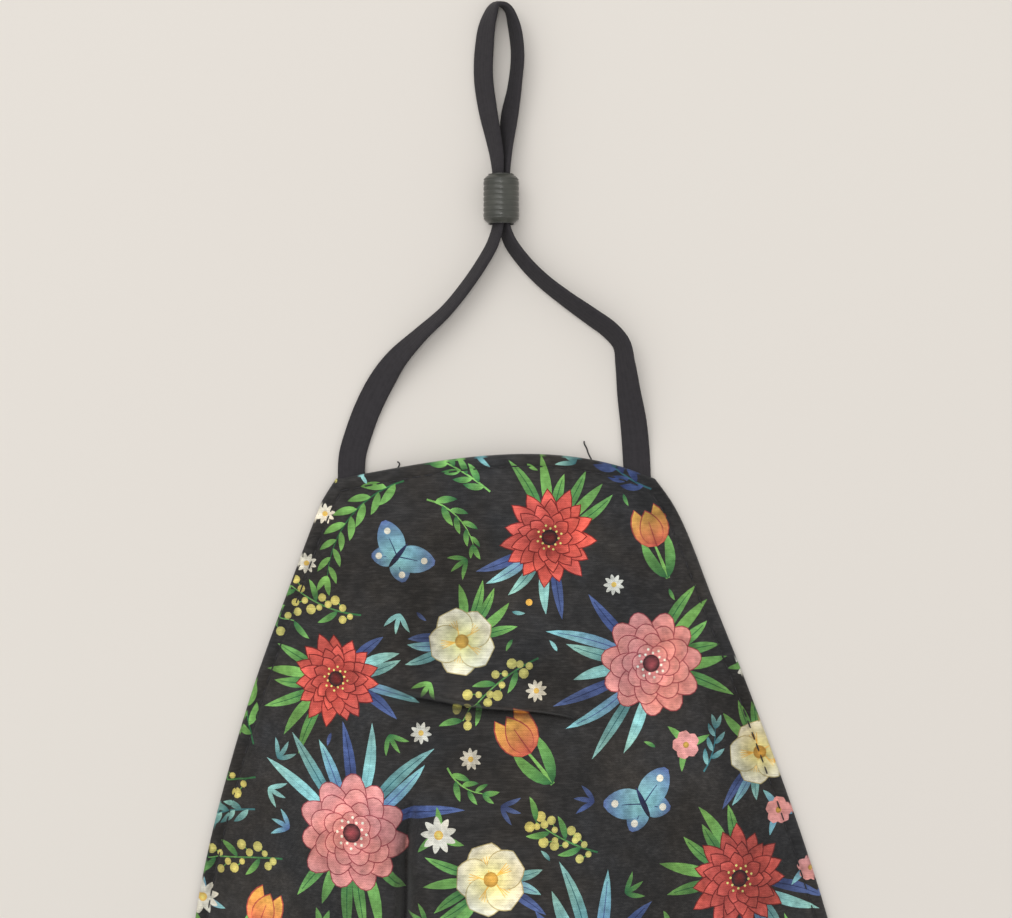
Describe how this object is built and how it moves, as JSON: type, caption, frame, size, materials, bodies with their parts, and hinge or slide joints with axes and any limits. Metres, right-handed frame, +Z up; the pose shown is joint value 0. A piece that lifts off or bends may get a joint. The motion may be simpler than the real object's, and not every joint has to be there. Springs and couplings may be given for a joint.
{
  "type": "cloth face mask",
  "caption": "Fitted reusable cloth face mask with a floral print, lying face up, with flat elastic ear loops drawn through ribbed rubber cord locks.",
  "frame": {"origin": "On the table, under the middle of the mask body without its ear loops.", "axes": "+Z up from the table, out of the mask's outer face. +Y along the body's length towards the wearer's left ear. +X across the body from the nose edge to the chin edge."},
  "size_m": [0.1396, 0.4256, 0.031],
  "materials": {
    "printed_cloth": "matte charcoal plain weave with a bright floral print",
    "elastic": "matte charcoal flat knitted elastic",
    "soft_rubber": "satin dark grey-green"
  },
  "bodies": {
    "root": {"left_panel": "printed_cloth", "right_panel": "printed_cloth", "left_ear_loop": "elastic", "right_ear_loop": "elastic", "left_cord_lock": "soft_rubber", "right_cord_lock": "soft_rubber"}
  },
  "joints": []
}
